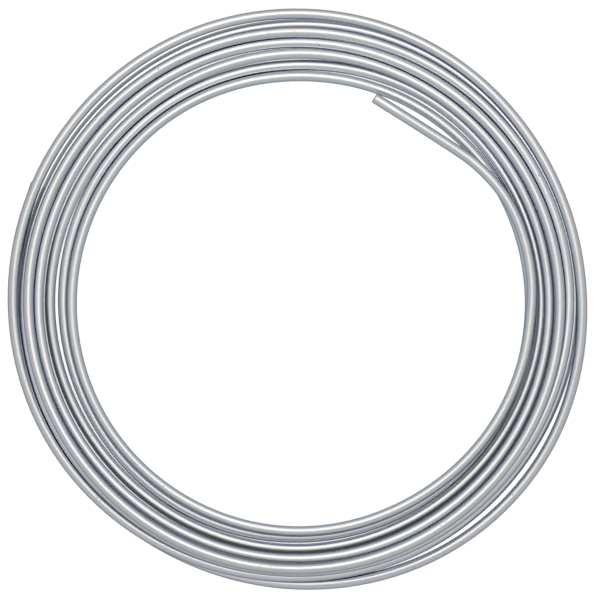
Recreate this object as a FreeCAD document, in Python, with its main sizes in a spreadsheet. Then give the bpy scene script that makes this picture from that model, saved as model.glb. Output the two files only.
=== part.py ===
"""A coil of steel brake line: one length of thin tube, wound into a loose coil that lies flat."""

import FreeCAD, Part
import Sketcher
import math
import os

os.makedirs("parts", exist_ok=True)
doc = FreeCAD.newDocument("brake_line_coil")

# ---------------------------------------------------------------------------
# Driving sizes, all in mm and all in one sheet.
# ---------------------------------------------------------------------------
sheet = doc.addObject("Spreadsheet::Sheet", "Sizes")
SIZES = [
    ("tube_outside", 6.35, "outside diameter of the tube, a quarter inch"),
    ("tube_wall", 0.71, "wall of the tube, 0.028 inch"),
    ("coil_opening", 270.4, "width of the open centre of the coil"),
    ("turn_clearance", 0.12, "air between two turns that lie against each other"),
    ("free_end_run", 60.8, "straight stretch at the end that springs into the centre"),
    ("tucked_end_run", 30.0, "straight stretch at the end tucked under the outer turn"),
]
for row, (name, value, note) in enumerate(SIZES, start=1):
    sheet.set(f"A{row}", name)
    sheet.set(f"B{row}", str(value))
    sheet.set(f"C{row}", note)
    sheet.setAlias(f"B{row}", name)
doc.recompute()

tube_outside = float(sheet.get("tube_outside"))
tube_wall = float(sheet.get("tube_wall"))
coil_opening = float(sheet.get("coil_opening"))
turn_clearance = float(sheet.get("turn_clearance"))
free_end_run = float(sheet.get("free_end_run"))
tucked_end_run = float(sheet.get("tucked_end_run"))

# One step is what a turn takes up beside or on top of the next one.
step = tube_outside + turn_clearance
first_radius = (coil_opening + tube_outside) / 2

# ---------------------------------------------------------------------------
# How the tube lies. It is followed from the end in the centre, clockwise seen
# from above. Each row is one turn, read every 30 degrees from 60 degrees down
# to 90: how far out the tube's middle lies, and how high, both in steps. Where
# two turns lie closer than one step side by side, the upper one is carried by
# the lower one.
# ---------------------------------------------------------------------------
STATIONS = 12
FIRST_STATION = 2
LAST_STATION = 92
OUT = [
    [None, None, 0.38, 0.39, 0.24, 0.30, 0.20, 0.08, -0.15, -0.26, -0.30, -0.42],
    [-0.15, 0.16, 0.30, 0.53, 0.72, 0.86, 0.95, 0.74, 0.66, 0.68, 0.66, 0.60],
    [1.04, 1.17, 1.37, 1.54, 1.75, 1.97, 1.94, 1.89, 1.92, 1.70, 1.62, 1.70],
    [1.74, 1.91, 2.10, 2.43, 2.72, 2.84, 2.92, 2.96, 2.97, 2.84, 2.83, 2.72],
    [2.73, 2.88, 3.08, 3.39, 3.66, 3.77, 3.86, 3.89, 3.93, 3.86, 3.79, 3.73],
    [3.76, 3.83, 3.96, 3.97, 4.02, 4.01, 4.13, 4.27, 4.32, 4.33, 4.36, 4.45],
    [4.55, 4.40, 4.50, 4.40, 4.50, 4.54, 4.88, 5.25, 5.35, 5.44, 5.49, 5.42],
    [5.27, 4.99, 5.12, 5.78, 5.76, 5.25, 4.93, 5.10, 5.32, None, None, None],
]
UP = [
    [None, None, 1.03, 1.03, 0.96, 0.92, 0.82, 0.87, 0.72, 0.47, 0.40, 0.22],
    [0.02, 0.00, 0.00, 0.00, 0.00, 0.00, 0.00, 0.00, 0.00, 0.00, 0.00, 0.00],
    [0.00, 0.00, 0.00, 0.05, 0.15, 0.25, 0.25, 0.10, 0.10, 0.20, 0.42, 0.60],
    [0.80, 0.76, 0.82, 1.00, 1.30, 1.70, 1.80, 1.45, 0.95, 0.50, 0.40, 0.50],
    [0.95, 1.30, 1.52, 1.87, 1.94, 2.64, 2.75, 2.28, 1.42, 0.97, 0.90, 0.80],
    [0.68, 0.89, 0.92, 0.98, 0.95, 1.64, 1.75, 1.32, 0.46, 0.02, 0.00, 0.00],
    [0.00, 0.00, 0.00, 0.00, 0.00, 0.76, 1.05, 1.03, 1.03, 1.03, 0.92, 0.80],
    [0.75, 0.84, 0.82, 0.42, 0.05, 0.00, 0.00, 0.00, 0.00, None, None, None],
]
# The free end leaves the first turn in a straight line across the opening, and
# the tucked end stops under the turn above it. Angle, out and up of each point.
FREE_END = [
    (42.7, -0.86, 1.06),
    (36.1, -0.36, 1.05),
    (29.9, 0.08, 1.04),
    (24.0, 0.35, 1.03),
    (17.6, 0.50, 1.03),
    (9.2, 0.57, 1.03),
]
TUCKED_END = [(166.0, 5.53, 0.00)]


def station_value(rows, number):
    """The value at a numbered station, counted along the whole tube."""
    return rows[number // STATIONS][number % STATIONS]


def between(rows, number):
    """The value half way from one station to the next, on a smooth curve."""
    a = station_value(rows, max(number - 1, FIRST_STATION))
    b = station_value(rows, number)
    c = station_value(rows, number + 1)
    d = station_value(rows, min(number + 2, LAST_STATION))
    return (9 * (b + c) - a - d) / 16


def place(angle, out, up):
    """A point of the tube's middle line."""
    radius = first_radius + out * step
    turned = math.radians(angle)
    x = radius * math.cos(turned)
    y = radius * math.sin(turned)
    return FreeCAD.Vector(x, y, up * step)


# Corners of the middle line: the runs between them are joined by arcs, which
# pass inside the corners, so the corners of a round turn lie a little further out.
HALF_TURN = math.radians(360 / STATIONS / 4)
ARC_SHARE = 0.45
corner_out = 1 / math.cos(HALF_TURN) ** 0.95

corners = []
for number in range(FIRST_STATION, LAST_STATION + 1):
    angle = 60 - 30 * number
    corners.append(place(angle, station_value(OUT, number), station_value(UP, number)))
    if number < LAST_STATION:
        lift = max(between(UP, number), 0)
        corners.append(place(angle - 15, between(OUT, number), lift))
for corner in corners:
    corner.x = corner.x * corner_out
    corner.y = corner.y * corner_out
bend = [place(*point) for point in FREE_END]
tuck = [place(*point) for point in TUCKED_END]
path = bend + corners + tuck

# Straight stretches at both ends. The free end springs up a little, clear of the
# turns that its own axis points at.
FREE_END_HEADING = 148.0
FREE_END_RISE = 0.07
heading = math.radians(FREE_END_HEADING)
free_way = FreeCAD.Vector(math.cos(heading), math.sin(heading), FREE_END_RISE)
path.insert(0, path[0] + free_way.normalize() * free_end_run)
last_run = path[-1] - path[-2]
turn_on = FreeCAD.Rotation(FreeCAD.Vector(0, 0, 1), -12.0)
path.append(path[-1] + turn_on.multVec(last_run.normalize()) * tucked_end_run)

# ---------------------------------------------------------------------------
# The middle line: straight runs joined by tangent arcs.
# ---------------------------------------------------------------------------


def rounded(points):
    """Edges through the points, each corner rounded by an arc that touches both runs."""
    edges = []
    radii = []
    start = points[0]
    for before, corner, after in zip(points, points[1:], points[2:]):
        into = (corner - before).normalize()
        out_of = (after - corner).normalize()
        turn = into.getAngle(out_of)
        shorter = min((corner - before).Length, (after - corner).Length)
        reach = ARC_SHARE * shorter
        radius = reach / math.tan(turn / 2)
        radii.append(radius)
        first = corner - into * reach
        final = corner + out_of * reach
        bulge = radius / math.cos(turn / 2) - radius
        inward = (out_of - into).normalize()
        middle = corner + inward * bulge
        edges.append(Part.makeLine(start, first))
        edges.append(Part.Arc(first, middle, final).toShape())
        start = final
    edges.append(Part.makeLine(start, points[-1]))
    return edges, radii


# The coil stands on the middle of its box, with its lowest turn on the floor.
line_box = Part.Wire(rounded(path)[0]).BoundBox
lowest = line_box.ZMin - tube_outside / 2
to_middle = FreeCAD.Vector(-line_box.Center.x, -line_box.Center.y, -lowest)
path = [point + to_middle for point in path]
edges, radii = rounded(path)
length = sum(edge.Length for edge in edges)
print("corners", len(path), "tightest arc", round(min(radii), 1), "widest", round(max(radii), 1))
print("length of the tube", round(length, 1))

middle_line = doc.addObject("Part::Feature", "MiddleLine")
middle_line.Shape = Part.Wire(edges)

# ---------------------------------------------------------------------------
# The tube: a ring drawn square to the free end and carried along the line.
# ---------------------------------------------------------------------------
tube = doc.addObject("PartDesign::Body", "BrakeTube")
tube.Label = "brake_tube"

section = tube.newObject("Sketcher::SketchObject", "TubeSection")
section.MapMode = "Deactivated"
upward = FreeCAD.Vector(0, 0, 1)
along = (path[1] - path[0]).normalize()
section.Placement = FreeCAD.Placement(path[0], FreeCAD.Rotation(upward, along))
centre = FreeCAD.Vector(0, 0, 0)
bore_radius = tube_outside / 2 - tube_wall
skin = section.addGeometry(Part.Circle(centre, upward, tube_outside / 2), False)
bore = section.addGeometry(Part.Circle(centre, upward, bore_radius), False)
section.addConstraint(Sketcher.Constraint("Coincident", skin, 3, -1, 1))
section.addConstraint(Sketcher.Constraint("Coincident", bore, 3, -1, 1))
skin_size = section.addConstraint(Sketcher.Constraint("Radius", skin, tube_outside / 2))
bore_size = section.addConstraint(Sketcher.Constraint("Radius", bore, bore_radius))
section.renameConstraint(skin_size, "skin_radius")
section.renameConstraint(bore_size, "bore_radius")
section.setExpression("Constraints.skin_radius", "Sizes.tube_outside / 2")
section.setExpression("Constraints.bore_radius", "Sizes.tube_outside / 2 - Sizes.tube_wall")

route = tube.newObject("PartDesign::SubShapeBinder", "Route")
route.Support = [(middle_line, "")]

drawn = tube.newObject("PartDesign::AdditivePipe", "DrawnTube")
drawn.Profile = section
drawn.Spine = (route, [])
drawn.Mode = "Standard"
drawn.Transition = "Transformed"
drawn.Refine = False

doc.recompute()

# ---------------------------------------------------------------------------
# Checks, then the one piece is written out.
# ---------------------------------------------------------------------------
for item in doc.Objects:
    if "Invalid" in item.State or "Error" in item.State:
        raise SystemExit(f"{item.Name} did not build: {item.State}")
shape = tube.Shape
if shape.isNull() or not shape.isValid() or len(shape.Solids) != 1:
    raise SystemExit("the tube is not one sound solid")
metal = math.pi * ((tube_outside / 2) ** 2 - bore_radius ** 2) * length
print("volume", round(shape.Volume, 1), "section times length", round(metal, 1))
if abs(shape.Volume / metal - 1) > 0.001:
    raise SystemExit("the volume of the tube does not match its section and length")

shape.exportStep("parts/brake_tube.step")
print("written parts/brake_tube.step")
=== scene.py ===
# %% [markdown]
# # A coil of steel brake line
# The object is one length of thin steel tube, a quarter of an inch across and
# about 7.6 m long. It comes wound into a loose coil of nearly eight turns, which
# lies flat on the floor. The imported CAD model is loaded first: everything that
# is made here goes where that model says.

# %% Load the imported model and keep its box
import math

import bmesh
import bpy
from mathutils import Euler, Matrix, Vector, kdtree


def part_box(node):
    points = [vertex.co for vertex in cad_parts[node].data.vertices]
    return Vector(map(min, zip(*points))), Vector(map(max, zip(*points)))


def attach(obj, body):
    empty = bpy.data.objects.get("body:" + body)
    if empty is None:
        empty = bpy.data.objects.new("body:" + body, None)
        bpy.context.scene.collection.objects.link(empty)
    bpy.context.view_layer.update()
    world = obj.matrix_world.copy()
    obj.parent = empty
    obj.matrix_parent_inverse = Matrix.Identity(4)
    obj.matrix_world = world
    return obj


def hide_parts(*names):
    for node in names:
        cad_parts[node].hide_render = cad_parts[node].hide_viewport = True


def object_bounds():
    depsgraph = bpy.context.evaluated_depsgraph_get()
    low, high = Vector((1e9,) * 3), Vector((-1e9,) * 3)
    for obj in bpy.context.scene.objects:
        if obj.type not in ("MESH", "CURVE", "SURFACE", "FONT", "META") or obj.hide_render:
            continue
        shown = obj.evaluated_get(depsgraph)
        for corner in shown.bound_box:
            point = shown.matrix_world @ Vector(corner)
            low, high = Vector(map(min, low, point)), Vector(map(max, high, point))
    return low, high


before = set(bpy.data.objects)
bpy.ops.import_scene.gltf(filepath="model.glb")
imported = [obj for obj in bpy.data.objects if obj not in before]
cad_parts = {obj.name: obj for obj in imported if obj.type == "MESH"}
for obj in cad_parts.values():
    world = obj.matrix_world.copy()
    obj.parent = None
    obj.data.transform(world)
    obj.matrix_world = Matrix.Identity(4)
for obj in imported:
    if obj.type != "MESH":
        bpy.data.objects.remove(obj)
cad_low, cad_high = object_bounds()
print("CAD box in mm", [round(1000 * (b - a), 1) for a, b in zip(cad_low, cad_high)])

# %% [markdown]
# ## How the tube lies
# A coil that was wound by hand is not a neat spiral: turns slide under and over
# each other. So the route is a table. Each row is one turn, read every 30 degrees
# clockwise from 60 degrees, and tells how far out and how high the middle of the
# tube lies. The unit is one step: a tube's width and a hair of air.

# %% The table of turns
MM = 0.001
TUBE_RADIUS = 3.175 * MM
BORE_RADIUS = 2.465 * MM
STEP = 6.47 * MM
FIRST_RADIUS = 138.375 * MM
STATIONS = 12
FIRST_STATION = 2
LAST_STATION = 92
OUT = [
    [None, None, 0.38, 0.39, 0.24, 0.30, 0.20, 0.08, -0.15, -0.26, -0.30, -0.42],
    [-0.15, 0.16, 0.30, 0.53, 0.72, 0.86, 0.95, 0.74, 0.66, 0.68, 0.66, 0.60],
    [1.04, 1.17, 1.37, 1.54, 1.75, 1.97, 1.94, 1.89, 1.92, 1.70, 1.62, 1.70],
    [1.74, 1.91, 2.10, 2.43, 2.72, 2.84, 2.92, 2.96, 2.97, 2.84, 2.83, 2.72],
    [2.73, 2.88, 3.08, 3.39, 3.66, 3.77, 3.86, 3.89, 3.93, 3.86, 3.79, 3.73],
    [3.76, 3.83, 3.96, 3.97, 4.02, 4.01, 4.13, 4.27, 4.32, 4.33, 4.36, 4.45],
    [4.55, 4.40, 4.50, 4.40, 4.50, 4.54, 4.88, 5.25, 5.35, 5.44, 5.49, 5.42],
    [5.27, 4.99, 5.12, 5.78, 5.76, 5.25, 4.93, 5.10, 5.32, None, None, None],
]
UP = [
    [None, None, 1.03, 1.03, 0.96, 0.92, 0.82, 0.87, 0.72, 0.47, 0.40, 0.22],
    [0.02, 0.00, 0.00, 0.00, 0.00, 0.00, 0.00, 0.00, 0.00, 0.00, 0.00, 0.00],
    [0.00, 0.00, 0.00, 0.05, 0.15, 0.25, 0.25, 0.10, 0.10, 0.20, 0.42, 0.60],
    [0.80, 0.76, 0.82, 1.00, 1.30, 1.70, 1.80, 1.45, 0.95, 0.50, 0.40, 0.50],
    [0.95, 1.30, 1.52, 1.87, 1.94, 2.64, 2.75, 2.28, 1.42, 0.97, 0.90, 0.80],
    [0.68, 0.89, 0.92, 0.98, 0.95, 1.64, 1.75, 1.32, 0.46, 0.02, 0.00, 0.00],
    [0.00, 0.00, 0.00, 0.00, 0.00, 0.76, 1.05, 1.03, 1.03, 1.03, 0.92, 0.80],
    [0.75, 0.84, 0.82, 0.42, 0.05, 0.00, 0.00, 0.00, 0.00, None, None, None],
]
FREE_END = [
    (42.7, -0.86, 1.06),
    (36.1, -0.36, 1.05),
    (29.9, 0.08, 1.04),
    (24.0, 0.35, 1.03),
    (17.6, 0.50, 1.03),
    (9.2, 0.57, 1.03),
]
TUCKED_END = (166.0, 5.53, 0.00)
print("turns in the table", len(OUT), "stations", LAST_STATION - FIRST_STATION + 1)

# %% Read the table as points
CORNER_OUT = 1 / math.cos(math.radians(7.5)) ** 0.95


def place(angle, out, up, wider=1.0):
    """A point of the tube's middle line, from its angle, how far out and how high."""
    radius = (FIRST_RADIUS + out * STEP) * wider
    turned = math.radians(angle)
    return Vector((radius * math.cos(turned), radius * math.sin(turned), up * STEP))


def between(rows, number):
    """The value half way from one station to the next, on a smooth curve."""
    def at(n):
        n = min(max(n, FIRST_STATION), LAST_STATION)
        return rows[n // STATIONS][n % STATIONS]
    return (9 * (at(number) + at(number + 1)) - at(number - 1) - at(number + 2)) / 16


route = [place(*point) for point in FREE_END]
for number in range(FIRST_STATION, LAST_STATION + 1):
    angle = 60 - 30 * number
    turn, station = divmod(number, STATIONS)
    route.append(place(angle, OUT[turn][station], UP[turn][station], CORNER_OUT))
    if number < LAST_STATION:
        lift = max(between(UP, number), 0)
        route.append(place(angle - 15, between(OUT, number), lift, CORNER_OUT))
route.append(place(*TUCKED_END))
print("points on the turns", len(route))

# %% [markdown]
# ## The two ends
# The inner end springs free: it leaves the first turn in a straight line across
# the opening and rises a little. The outer end is tucked under the turn above it.
# One point at each end is enough, because a straight stretch needs no more.

# %% Add both ends and move the route onto the CAD solid
FREE_END_RUN = 60.8 * MM
TUCKED_END_RUN = 30.0 * MM
away = Vector((math.cos(math.radians(148.0)), math.sin(math.radians(148.0)), 0.07))
route.insert(0, route[0] + away.normalized() * FREE_END_RUN)
last_run = (route[-1] - route[-2]).normalized()
turned_on = last_run.copy()
turned_on.rotate(Euler((0, 0, math.radians(-12.0))))
route.append(route[-1] + turned_on * TUCKED_END_RUN)
print("route points", len(route))

# %% [markdown]
# ## One smooth line
# The points steer a NURBS curve. A curve without a bevel turns into a plain
# string of points, which the tube then follows. The string is moved so that the
# finished tube fills the box of its CAD solid, and touches the floor.

# %% The middle line
def smooth_line(points, steps):
    """A mesh of points and edges along a NURBS curve steered by the points."""
    curve = bpy.data.curves.new("middle_line", "CURVE")
    curve.dimensions = "3D"
    spline = curve.splines.new("NURBS")
    spline.points.add(len(points) - 1)
    for target, point in zip(spline.points, points):
        target.co = (*point, 1.0)
    spline.order_u = 3
    spline.use_endpoint_u = True
    spline.resolution_u = steps
    holder = bpy.data.objects.new("middle_line", curve)
    bpy.context.scene.collection.objects.link(holder)
    bpy.context.view_layer.update()
    evaluated = holder.evaluated_get(bpy.context.evaluated_depsgraph_get())
    line = bpy.data.meshes.new_from_object(evaluated)
    bpy.data.objects.remove(holder)
    bpy.data.curves.remove(curve)
    return line


line = smooth_line(route, 6)
low = Vector([min(v.co[i] for v in line.vertices) for i in range(3)])
high = Vector([max(v.co[i] for v in line.vertices) for i in range(3)])
solid_low, solid_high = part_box("brake_tube")
shift = (solid_low + solid_high) / 2 - (low + high) / 2
shift.z = solid_low.z + TUBE_RADIUS - low.z
for vertex in line.vertices:
    vertex.co += shift
ends = [[line.vertices[n].co for n in edge.vertices] for edge in line.edges]
length = sum((first - second).length for first, second in ends)
print("points", len(line.vertices), "length", round(length, 3), "m")
print("shift in mm", [round(1000 * c, 2) for c in shift])

# %% [markdown]
# ## The zinc plating
# The tube is steel with bright zinc on it. Zinc scatters light softly, shows fine
# lines along the tube from the drawing die, and has cloudy patches, small dark
# specks and rubbed spots. Its two flanks are painted with a lilac and a bluish
# reflection. All of that follows the tube and not the room, so the patterns read
# an attribute that holds the place on the tube as if it were laid out straight:
# sideways, upwards and along, in metres.

# %% Helpers for node trees
def add(tree, kind, label=None, **settings):
    """Adds a node, names it and sets its plain properties."""
    node = tree.nodes.new(kind)
    if label:
        node.label = label
    for name, value in settings.items():
        setattr(node, name, value)
    return node


def math_node(tree, operation, first, second=None, third=None, clamp=False):
    """A Math node whose inputs are sockets or numbers."""
    node = add(tree, "ShaderNodeMath", operation=operation, use_clamp=clamp)
    for slot, value in enumerate((first, second, third)):
        if value is None:
            continue
        if isinstance(value, (int, float)):
            node.inputs[slot].default_value = value
        else:
            tree.links.new(value, node.inputs[slot])
    return node.outputs[0]


def mapped(tree, source, scale, offset=(0, 0, 0)):
    """The source vector, scaled on each axis."""
    node = add(tree, "ShaderNodeMapping")
    node.inputs["Location"].default_value = offset
    node.inputs["Scale"].default_value = scale
    tree.links.new(source, node.inputs["Vector"])
    return node.outputs["Vector"]


def noise(tree, vector, scale, detail=3.0, roughness=0.55):
    """A noise value of about 0 to 1."""
    node = add(tree, "ShaderNodeTexNoise")
    node.inputs["Scale"].default_value = scale
    node.inputs["Detail"].default_value = detail
    node.inputs["Roughness"].default_value = roughness
    tree.links.new(vector, node.inputs["Vector"])
    return node.outputs["Fac"]


def ramp(tree, value, low, high, to_low=0.0, to_high=1.0):
    """The value stretched so that low to high becomes to_low to to_high."""
    node = add(tree, "ShaderNodeMapRange", interpolation_type="SMOOTHSTEP")
    for slot, number in (("From Min", low), ("From Max", high), ("To Min", to_low), ("To Max", to_high)):
        node.inputs[slot].default_value = number
    tree.links.new(value, node.inputs["Value"])
    return node.outputs["Result"]


def tint(tree, amount, below, above, blend="MIX"):
    """Mixes two colours, each a socket or three numbers, by an amount."""
    node = add(tree, "ShaderNodeMix", data_type="RGBA", blend_type=blend)
    if isinstance(amount, (int, float)):
        node.inputs[0].default_value = amount
    else:
        tree.links.new(amount, node.inputs[0])
    for slot, colour in ((6, below), (7, above)):
        if isinstance(colour, tuple):
            node.inputs[slot].default_value = (*colour, 1.0)
        else:
            tree.links.new(colour, node.inputs[slot])
    return node.outputs[2]


print("node helpers ready")

# %% The plating's colours and patterns
PLATING = (0.62, 0.625, 0.63)
# painted reflections for the two flanks of the tube
PAINTED_LILAC_REFLECTION = (0.615, 0.605, 0.675)
PAINTED_BLUE_REFLECTION = (0.545, 0.62, 0.70)
SPECK = (0.16, 0.16, 0.17)
# painted shade for the bottom of a groove between turns, and painted light for its sides
PAINTED_GROOVE_SHADE = (0.012, 0.014, 0.02)
PAINTED_GROOVE_LIGHT = (0.86, 0.89, 0.94)
RUBBED = (0.50, 0.49, 0.49)
CREAM = (0.67, 0.665, 0.635)

zinc = bpy.data.materials.new("bright_zinc_plating")
zinc.use_nodes = True
tree = zinc.node_tree
tree.nodes.clear()
surface = add(tree, "ShaderNodeOutputMaterial")
shader = add(tree, "ShaderNodeBsdfPrincipled", "zinc")
shader.inputs["Metallic"].default_value = 1.0
shader.inputs["Specular Tint"].default_value = (0.16, 0.17, 0.19, 1.0)
tree.links.new(shader.outputs[0], surface.inputs["Surface"])

laid_out = add(tree, "ShaderNodeAttribute", "place on the tube", attribute_name="laid_out").outputs["Vector"]
parts = add(tree, "ShaderNodeSeparateXYZ")
tree.links.new(laid_out, parts.inputs[0])
sideways, upwards, along = parts.outputs

# cloudy cream patches all over; the flank away from the coil's middle gets a painted lilac reflection, the
# other flank a painted bluish reflection
outer_reflection_mask = ramp(tree, sideways, -0.0006, -0.0030)
inner_reflection_mask = ramp(tree, sideways, 0.0006, 0.0030)
clouds = noise(tree, mapped(tree, laid_out, (180, 180, 26)), 1.0, 4.0)
colour = tint(tree, ramp(tree, clouds, 0.38, 0.62), PLATING, CREAM)
colour = tint(tree, outer_reflection_mask, colour, PAINTED_LILAC_REFLECTION)
colour = tint(tree, inner_reflection_mask, colour, PAINTED_BLUE_REFLECTION)

# fine lines from the die, and broader soft streaks
die_lines = noise(tree, mapped(tree, laid_out, (2600, 2600, 22)), 1.0, 2.0)
streaks = noise(tree, mapped(tree, laid_out, (620, 620, 9), (3, 1, 7)), 1.0, 3.0)
colour = tint(tree, ramp(tree, die_lines, 0.30, 0.75, 0.0, 0.16), colour, (0.42, 0.42, 0.43))
colour = tint(tree, ramp(tree, streaks, 0.45, 0.75, 0.0, 0.22), colour, RUBBED)

# small dark specks, and rubbed spots a few millimetres long
specks = noise(tree, mapped(tree, laid_out, (900, 900, 420), (11, 5, 2)), 1.0, 1.0)
few = noise(tree, mapped(tree, laid_out, (60, 60, 34), (2, 9, 4)), 1.0, 1.0)
speck_mask = math_node(tree, "MULTIPLY", ramp(tree, specks, 0.71, 0.76), ramp(tree, few, 0.55, 0.63))
colour = tint(tree, math_node(tree, "MULTIPLY", speck_mask, 0.75), colour, SPECK)
scuffs = noise(tree, mapped(tree, laid_out, (1500, 1500, 150), (4, 4, 1)), 1.0, 3.0)
where_scuffed = noise(tree, mapped(tree, laid_out, (25, 25, 11), (8, 2, 6)), 1.0, 1.0)
scuffed = ramp(tree, scuffs, 0.55, 0.68)
scuff_mask = math_node(tree, "MULTIPLY", scuffed, ramp(tree, where_scuffed, 0.60, 0.68))
colour = tint(tree, math_node(tree, "MULTIPLY", scuff_mask, 0.5), colour, RUBBED)

# painted light beside the groove to the next turn, and painted shade, nearly black, at its bottom
near_turn = add(tree, "ShaderNodeAttribute", "air to the next turn", attribute_name="air").outputs["Fac"]
groove_light_mask = ramp(tree, near_turn, 0.0028, 0.0009)
colour = tint(tree, math_node(tree, "MULTIPLY", groove_light_mask, 0.75), colour, PAINTED_GROOVE_LIGHT)
groove_shade_mask = ramp(tree, near_turn, 0.0010, 0.00045)
colour = tint(tree, math_node(tree, "MULTIPLY", groove_shade_mask, 0.96), colour, PAINTED_GROOVE_SHADE)
tree.links.new(colour, shader.inputs["Base Color"])
print("colour nodes", len(tree.nodes))

# %% The plating's gloss and its fine relief
gloss = ramp(tree, clouds, 0.30, 0.70, 0.30, 0.37)
gloss = math_node(tree, "ADD", gloss, math_node(tree, "MULTIPLY", scuff_mask, 0.15))
gloss = math_node(tree, "ADD", gloss, math_node(tree, "MULTIPLY", speck_mask, 0.2))
tree.links.new(gloss, shader.inputs["Roughness"])
line_relief = math_node(tree, "MULTIPLY", die_lines, 0.6)
relief = math_node(tree, "ADD", line_relief, math_node(tree, "MULTIPLY", streaks, 0.8))
relief = math_node(tree, "SUBTRACT", relief, math_node(tree, "MULTIPLY", speck_mask, 1.5))
bump = add(tree, "ShaderNodeBump")
bump.inputs["Strength"].default_value = 0.35
bump.inputs["Distance"].default_value = 0.00006
tree.links.new(relief, bump.inputs["Height"])
tree.links.new(bump.outputs["Normal"], shader.inputs["Normal"])
print("plating finished, nodes", len(tree.nodes))

# %% The cut ends and the bare bore
bare = bpy.data.materials.new("sawn_bare_steel")
bare.use_nodes = True
tree = bare.node_tree
tree.nodes.clear()
surface = add(tree, "ShaderNodeOutputMaterial")
shader = add(tree, "ShaderNodeBsdfPrincipled", "bare steel")
shader.inputs["Metallic"].default_value = 1.0
tree.links.new(shader.outputs[0], surface.inputs["Surface"])
laid_out = add(tree, "ShaderNodeAttribute", "place on the tube", attribute_name="laid_out").outputs["Vector"]
saw_marks = noise(tree, mapped(tree, laid_out, (400, 9000, 4000)), 1.0, 2.0)
dulled = noise(tree, mapped(tree, laid_out, (500, 500, 120)), 1.0, 3.0)
colour = tint(tree, ramp(tree, dulled, 0.35, 0.65), (0.34, 0.33, 0.32), (0.22, 0.20, 0.19))
colour = tint(tree, ramp(tree, saw_marks, 0.40, 0.65, 0.0, 0.5), colour, (0.50, 0.50, 0.50))
tree.links.new(colour, shader.inputs["Base Color"])
tree.links.new(ramp(tree, dulled, 0.3, 0.7, 0.35, 0.55), shader.inputs["Roughness"])
bump = add(tree, "ShaderNodeBump")
bump.inputs["Strength"].default_value = 0.4
bump.inputs["Distance"].default_value = 0.00004
tree.links.new(saw_marks, bump.inputs["Height"])
tree.links.new(bump.outputs["Normal"], shader.inputs["Normal"])
print("bare steel finished, nodes", len(tree.nodes))

# %% [markdown]
# ## The tube itself
# A tube that follows a path is what Geometry Nodes do best: two circles, the skin
# and the bore, are carried along the line, and the bore's faces are turned round
# so that they look inwards. The nodes also write the attribute that the plating
# reads. The bore is open from end to end, as in the real tube.

# %% The node tree that makes skin and bore
def tube_tree():
    """Geometry nodes: a line in, a hollow tube with its attribute out."""
    group = bpy.data.node_groups.new("drawn_tube", "GeometryNodeTree")
    face = group.interface
    face.new_socket("Line", in_out="INPUT", socket_type="NodeSocketGeometry")
    for name in ("Skin radius", "Bore radius"):
        face.new_socket(name, in_out="INPUT", socket_type="NodeSocketFloat")
    face.new_socket("Sides", in_out="INPUT", socket_type="NodeSocketInt")
    for name in ("Skin finish", "Bore finish"):
        face.new_socket(name, in_out="INPUT", socket_type="NodeSocketMaterial")
    face.new_socket("Tube", in_out="OUTPUT", socket_type="NodeSocketGeometry")
    given = add(group, "NodeGroupInput")
    result = add(group, "NodeGroupOutput")
    link = group.links.new

    to_curve = add(group, "GeometryNodeMeshToCurve")
    link(given.outputs["Line"], to_curve.inputs["Mesh"])
    level = add(group, "GeometryNodeSetCurveNormal")
    if hasattr(level, "mode"):
        level.mode = "Z_UP"
    else:
        level.inputs["Mode"].default_value = "Z Up"
    link(to_curve.outputs["Curve"], level.inputs["Curve"])
    measured = add(group, "GeometryNodeCaptureAttribute", domain="POINT")
    measured.capture_items.new("FLOAT", "Along")
    parameter = add(group, "GeometryNodeSplineParameter")
    link(level.outputs["Curve"], measured.inputs["Geometry"])
    link(parameter.outputs["Length"], measured.inputs["Along"])

    joined = add(group, "GeometryNodeJoinGeometry")
    for radius, finish in (("Skin radius", "Skin finish"), ("Bore radius", "Bore finish")):
        circle = add(group, "GeometryNodeCurvePrimitiveCircle", mode="RADIUS")
        link(given.outputs["Sides"], circle.inputs["Resolution"])
        link(given.outputs[radius], circle.inputs["Radius"])
        around = add(group, "GeometryNodeCaptureAttribute", domain="POINT")
        around.capture_items.new("VECTOR", "Around")
        position = add(group, "GeometryNodeInputPosition")
        link(circle.outputs["Curve"], around.inputs["Geometry"])
        link(position.outputs[0], around.inputs["Around"])
        swept = add(group, "GeometryNodeCurveToMesh")
        link(measured.outputs["Geometry"], swept.inputs["Curve"])
        link(around.outputs["Geometry"], swept.inputs["Profile Curve"])
        split = add(group, "ShaderNodeSeparateXYZ")
        link(around.outputs["Around"], split.inputs[0])
        merged = add(group, "ShaderNodeCombineXYZ")
        link(split.outputs["X"], merged.inputs["X"])
        link(split.outputs["Y"], merged.inputs["Y"])
        link(measured.outputs["Along"], merged.inputs["Z"])
        store = add(group, "GeometryNodeStoreNamedAttribute", data_type="FLOAT_VECTOR", domain="POINT")
        store.inputs["Name"].default_value = "laid_out"
        link(swept.outputs["Mesh"], store.inputs["Geometry"])
        link(merged.outputs[0], store.inputs["Value"])
        made = store.outputs["Geometry"]
        if radius == "Bore radius":
            flipped = add(group, "GeometryNodeFlipFaces")
            link(made, flipped.inputs["Mesh"])
            made = flipped.outputs["Mesh"]
        coated = add(group, "GeometryNodeSetMaterial")
        link(made, coated.inputs["Geometry"])
        link(given.outputs[finish], coated.inputs["Material"])
        link(coated.outputs["Geometry"], joined.inputs["Geometry"])
    real = add(group, "GeometryNodeRealizeInstances")
    smooth = add(group, "GeometryNodeSetShadeSmooth")
    link(joined.outputs["Geometry"], real.inputs["Geometry"])
    link(real.outputs["Geometry"], smooth.inputs["Geometry"])
    link(smooth.outputs["Geometry"], result.inputs["Tube"])
    return group


group = tube_tree()
print("tube tree nodes", len(group.nodes))

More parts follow.
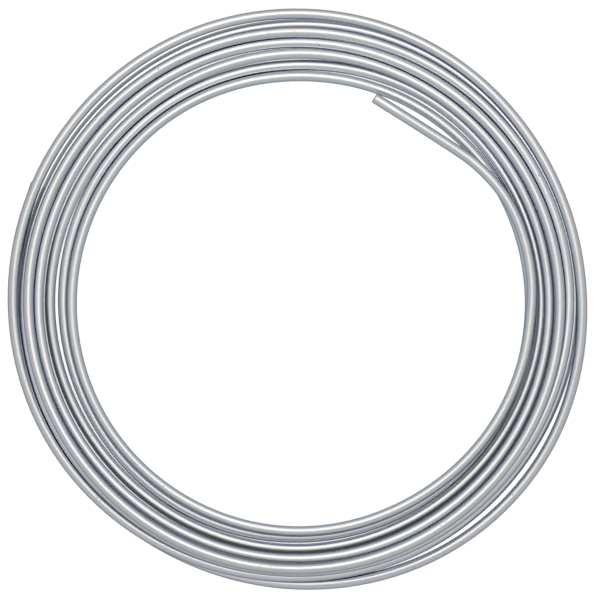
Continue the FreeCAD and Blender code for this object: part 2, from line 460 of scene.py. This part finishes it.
# %% Run the nodes and keep the plain mesh
SIDES = 36
holder = bpy.data.objects.new("drawn_tube", line)
bpy.context.scene.collection.objects.link(holder)
modifier = holder.modifiers.new("drawn_tube", "NODES")
modifier.node_group = group
sizes = {
    "Skin radius": TUBE_RADIUS,
    "Bore radius": BORE_RADIUS,
    "Sides": SIDES,
    "Skin finish": zinc,
    "Bore finish": bare,
}
for item in group.interface.items_tree:
    if item.item_type == "SOCKET" and item.in_out == "INPUT" and item.name in sizes:
        modifier[item.identifier] = sizes[item.name]
bpy.context.view_layer.update()
tube_mesh = bpy.data.meshes.new_from_object(holder.evaluated_get(bpy.context.evaluated_depsgraph_get()))
holder.modifiers.clear()
bpy.data.objects.remove(holder)
print("tube faces", len(tube_mesh.polygons), "materials", [m.name for m in tube_mesh.materials])

# %% [markdown]
# ## The cut ends
# A cutter wheel leaves the end square, with its outer edge pressed round and a
# small ridge where it broke through. The skin's last ring and the bore's last
# ring are joined by a few narrow rings of faces that have this shape.

# %% Close the wall at both ends
ROUNDED = 0.00016
# each ring of the lip: how far it stands ahead of the tube's end, and its radius
LIP = [
    (0.00006, TUBE_RADIUS - 0.00005),
    (ROUNDED, TUBE_RADIUS - ROUNDED),
    (0.00018, 0.00280),
    (0.00022, 0.00262),
    (0.00012, 0.00252),
]


def close_end(mesh_data, store, skin_ring, bore_ring, outwards, plated, sawn):
    """Joins the skin's last ring to the bore's with the cutter's lip."""
    middle = sum((v.co for v in skin_ring), Vector()) / len(skin_ring)
    spokes = [(v.co - middle).normalized() for v in skin_ring]
    rings = [skin_ring]
    for ahead, radius in LIP:
        ring = []
        for spoke, source in zip(spokes, skin_ring):
            vertex = mesh_data.verts.new(middle + outwards * ahead + spoke * radius)
            laid = source[store].copy()
            flat = Vector((laid.x, laid.y, 0)).normalized() * radius
            vertex[store] = Vector((flat.x, flat.y, laid.z + ahead))
            ring.append(vertex)
        rings.append(ring)
    rings.append([min(bore_ring, key=lambda v: (v.co - middle - s * BORE_RADIUS).length) for s in spokes])
    for number, (first, second) in enumerate(zip(rings, rings[1:])):
        for k in range(len(first)):
            n = (k + 1) % len(first)
            face = mesh_data.faces.new((first[k], first[n], second[n], second[k]))
            face.smooth = True
            face.material_index = plated if number < 2 else sawn
            face.normal_update()
            if number < 5 and face.normal.dot(outwards + spokes[k] * 0.3) < 0:
                face.normal_flip()
            if number == 5 and face.normal.dot(outwards - spokes[k] * 0.3) < 0:
                face.normal_flip()


def ordered(ring_edges):
    """The vertices of a closed ring of edges, in order."""
    edge = ring_edges[0]
    ring = [edge.verts[0], edge.verts[1]]
    left = set(ring_edges[1:])
    while left:
        following = next(e for e in left if ring[-1] in e.verts)
        left.remove(following)
        ring.append(following.other_vert(ring[-1]))
    return ring[:-1]


work = bmesh.new()
work.from_mesh(tube_mesh)
store = work.verts.layers.float_vector.get("laid_out")
open_edges = [e for e in work.edges if e.is_boundary]
rings = []
while open_edges:
    ring = [open_edges[0]]
    reached = set(ring[0].verts)
    grown = True
    while grown:
        more = [e for e in open_edges if e not in ring and (e.verts[0] in reached or e.verts[1] in reached)]
        grown = bool(more)
        for e in more:
            ring.append(e)
            reached.update(e.verts)
    rings.append(ordered(ring))
    open_edges = [e for e in open_edges if e not in ring]
print("open rings", [len(r) for r in rings])
slots = [m.name for m in tube_mesh.materials]
for start in (True, False):
    tip = line.vertices[0].co if start else line.vertices[len(line.vertices) - 1].co
    inside = line.vertices[1].co if start else line.vertices[len(line.vertices) - 2].co
    outwards = (tip - inside).normalized()
    near = sorted(rings, key=lambda r: (r[0].co - tip).length)[:2]
    bore_ring, skin_ring = near
    plated, sawn = slots.index(zinc.name), slots.index(bare.name)
    close_end(work, store, skin_ring, bore_ring, outwards, plated, sawn)
work.to_mesh(tube_mesh)
print("open edges left", sum(e.is_boundary for e in work.edges), "volume mm3", round(work.calc_volume() * 1e9))
work.free()

# %% [markdown]
# ## Where the turns touch
# Beside the groove between two turns the plating gets painted light, and at its
# bottom painted shade that is nearly black. How near the next turn is can be
# measured once for each point of the skin, and kept as an attribute that the
# plating reads.

# %% Measure the air to the next turn
FINER = 6
WIDEST_AIR = 0.0030
SAME_STRETCH = 0.05
spots = []
for first, second in zip(line.vertices, list(line.vertices)[1:]):
    spots.extend(first.co.lerp(second.co, k / FINER) for k in range(FINER))
travelled = [0.0]
for first, second in zip(spots, spots[1:]):
    travelled.append(travelled[-1] + (second - first).length)
tree_of_spots = kdtree.KDTree(len(spots))
for number, spot in enumerate(spots):
    tree_of_spots.insert(spot, number)
tree_of_spots.balance()
air = tube_mesh.attributes.new("air", "FLOAT", "POINT")
laid = tube_mesh.attributes["laid_out"].data
for vertex, place_on_tube, gap in zip(tube_mesh.vertices, laid, air.data):
    here = place_on_tube.vector.z
    reach = WIDEST_AIR
    for spot, number, far in tree_of_spots.find_range(vertex.co, TUBE_RADIUS + WIDEST_AIR):
        if abs(travelled[number] - here) > SAME_STRETCH:
            reach = min(reach, far - TUBE_RADIUS)
    gap.value = max(reach, 0.0)
print("points near another turn", sum(g.value < 0.001 for g in air.data), "of", len(air.data))

# %% Put the finished tube in the frame
tube_mesh.name = "plated_brake_tube"
tube = bpy.data.objects.new("plated_brake_tube", tube_mesh)
bpy.context.scene.collection.objects.link(tube)
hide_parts("brake_tube")
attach(tube, "root")
tube_mesh.calc_loop_triangles()
print("triangles", len(tube_mesh.loop_triangles))

# %% [markdown]
# ## Floor, light and camera
# The coil is bright metal, so it shows what is around it. The floor is a plain
# sheet that looks white to the camera and in reflections, and still takes a soft
# shadow. One wide soft lamp hangs above the coil, a little towards its far side,
# and draws the light band along the crown of each turn. The room around it is
# cooler and dimmer, and fills the flanks.

# %% The pale floor
floor_mesh = bpy.data.meshes.new("pale_floor")
FLOOR_HALF = 6.0
turned_signs = ((-1, -1), (1, -1), (1, 1), (-1, 1))
floor_corners = [(x * FLOOR_HALF, y * FLOOR_HALF, 0) for x, y in turned_signs]
floor_mesh.from_pydata(floor_corners, [], [(0, 1, 2, 3)])
floor = bpy.data.objects.new("pale_floor", floor_mesh)
floor.location.z = cad_low.z - 0.0001
bpy.context.scene.collection.objects.link(floor)

paper = bpy.data.materials.new("white_sheet")
paper.use_nodes = True
tree = paper.node_tree
tree.nodes.clear()
surface = add(tree, "ShaderNodeOutputMaterial")
lit = add(tree, "ShaderNodeBsdfDiffuse")
lit.inputs["Color"].default_value = (0.5, 0.5, 0.51, 1)
glow = add(tree, "ShaderNodeEmission")
# painted shade on the floor: the glow fades in the narrowest gaps between turns, which then look dark
gap_shade_occlusion = add(tree, "ShaderNodeAmbientOcclusion", samples=16)
gap_shade_occlusion.inputs["Distance"].default_value = 0.02
tree.links.new(ramp(tree, gap_shade_occlusion.outputs["AO"], 0.02, 0.10), glow.inputs["Color"])
glow.inputs["Strength"].default_value = 1.07
faint = add(tree, "ShaderNodeBsdfDiffuse")
faint.inputs["Color"].default_value = (0.9, 0.9, 0.92, 1)
seen = add(tree, "ShaderNodeMixShader")
seen.inputs[0].default_value = 0.10
tree.links.new(glow.outputs[0], seen.inputs[1])
tree.links.new(faint.outputs[0], seen.inputs[2])
rays = add(tree, "ShaderNodeLightPath")
mirrored = math_node(tree, "MAXIMUM", rays.outputs["Is Glossy Ray"], rays.outputs["Is Transmission Ray"])
mirrored = math_node(tree, "MULTIPLY", mirrored, 0.15)
either = math_node(tree, "MAXIMUM", rays.outputs["Is Camera Ray"], mirrored)
chosen = add(tree, "ShaderNodeMixShader")
tree.links.new(either, chosen.inputs[0])
tree.links.new(lit.outputs[0], chosen.inputs[1])
tree.links.new(seen.outputs[0], chosen.inputs[2])
tree.links.new(chosen.outputs[0], surface.inputs["Surface"])
floor_mesh.materials.append(paper)
print("floor", 2 * FLOOR_HALF, "m wide")

# %% The room and the lamp
room = bpy.data.worlds.new("studio")
bpy.context.scene.world = room
room.use_nodes = True
tree = room.node_tree
tree.nodes.clear()
surface = add(tree, "ShaderNodeOutputWorld")
walls = add(tree, "ShaderNodeBackground")
walls.inputs["Color"].default_value = (0.94, 0.97, 1.0, 1)
walls.inputs["Strength"].default_value = 0.72
white = add(tree, "ShaderNodeBackground")
white.inputs["Color"].default_value = (1, 1, 1, 1)
rays = add(tree, "ShaderNodeLightPath")
chosen = add(tree, "ShaderNodeMixShader")
tree.links.new(rays.outputs["Is Camera Ray"], chosen.inputs[0])
tree.links.new(walls.outputs[0], chosen.inputs[1])
tree.links.new(white.outputs[0], chosen.inputs[2])
tree.links.new(chosen.outputs[0], surface.inputs["Surface"])

LAMP_SIZE = 2.5
LAMP_RADIANCE = 1.25
LAMP_BACK = 1.0
LAMP_HEIGHT = 2.2
lamp_data = bpy.data.lights.new("soft_lamp", "AREA")
lamp_data.shape = "DISK"
lamp_data.size = LAMP_SIZE
lamp_data.energy = LAMP_RADIANCE * math.pi * math.pi * (LAMP_SIZE / 2) ** 2
lamp_data.color = (1.0, 0.985, 0.93)
lamp = bpy.data.objects.new("soft_lamp", lamp_data)
lamp.location = (0.0, LAMP_BACK, LAMP_HEIGHT)
lamp.rotation_euler = (-math.atan(LAMP_BACK / LAMP_HEIGHT), 0.0, 0.0)
bpy.context.scene.collection.objects.link(lamp)
print("lamp power", round(lamp_data.energy, 2), "W")

# %% The camera, straight above
VIEW_WIDTH = 0.3631
VIEW_ASIDE = 0.0009
camera_data = bpy.data.cameras.new("camera")
camera_data.lens = 600
camera_data.sensor_width = 36
camera = bpy.data.objects.new("camera", camera_data)
half_angle = math.atan(camera_data.sensor_width / 2 / camera_data.lens)
centre = (cad_low + cad_high) / 2
camera_height = centre.z + VIEW_WIDTH / 2 / math.tan(half_angle)
camera.location = (shift.x + VIEW_ASIDE, shift.y, camera_height)
camera_data.clip_start = 0.1
camera_data.clip_end = 50
bpy.context.scene.collection.objects.link(camera)
bpy.context.scene.camera = camera
bpy.context.scene.view_settings.view_transform = "Standard"
print("camera height", round(camera.location.z, 2), "m")
